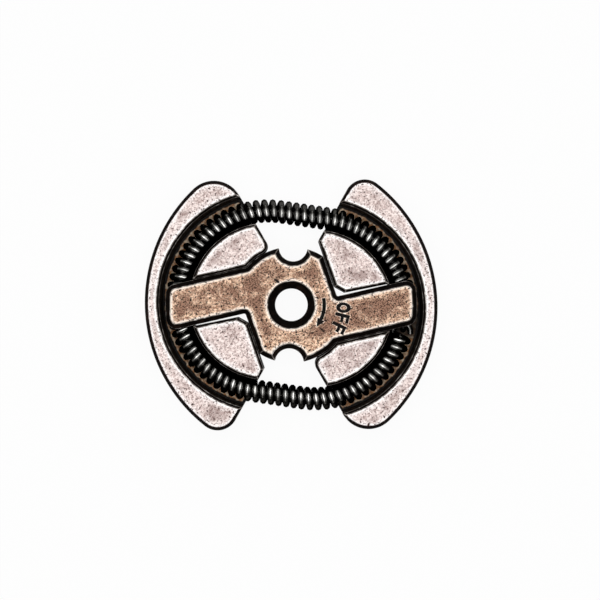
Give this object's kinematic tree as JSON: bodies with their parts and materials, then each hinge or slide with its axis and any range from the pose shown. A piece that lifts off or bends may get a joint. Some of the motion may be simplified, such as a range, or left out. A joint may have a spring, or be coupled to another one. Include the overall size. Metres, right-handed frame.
{
  "type": "chainsaw clutch",
  "caption": "Centrifugal clutch: a screw-on hub with offset arms carries sliding friction shoes, held in at idle by a coil spring loop lying in their groove.",
  "frame": {"origin": "bore axis at the back face, where the part lies at rest", "axes": "+Z along the bore, out of the marked face; +X along the slide of the right shoe"},
  "size_m": [0.0614, 0.0586, 0.0115],
  "materials": {
    "hub_metal": "sintered iron, ground face with brown oil stain and dark pores",
    "shoe_metal": "sintered iron, bright ground face with dark pores, dark edges",
    "spring_steel": "blackened, oiled spring wire"
  },
  "bodies": {
    "hub": {"hub": "hub_metal", "spring": "spring_steel"},
    "shoe_right": {"shoe_right": "shoe_metal"},
    "shoe_left": {"shoe_left": "shoe_metal"}
  },
  "joints": [
    {"name": "right_shoe_slide", "type": "slide", "parent": "hub", "child": "shoe_right", "axis": [1, 0, 0], "range_m": [0, 0.00226], "stiffness_N_per_m": 3000, "springref_m": -0.002, "deforming": ["spring"]},
    {"name": "left_shoe_slide", "type": "slide", "parent": "hub", "child": "shoe_left", "axis": [-1, 0, 0], "range_m": [0, 0.00226], "stiffness_N_per_m": 3000, "springref_m": -0.002, "deforming": ["spring"]}
  ]
}
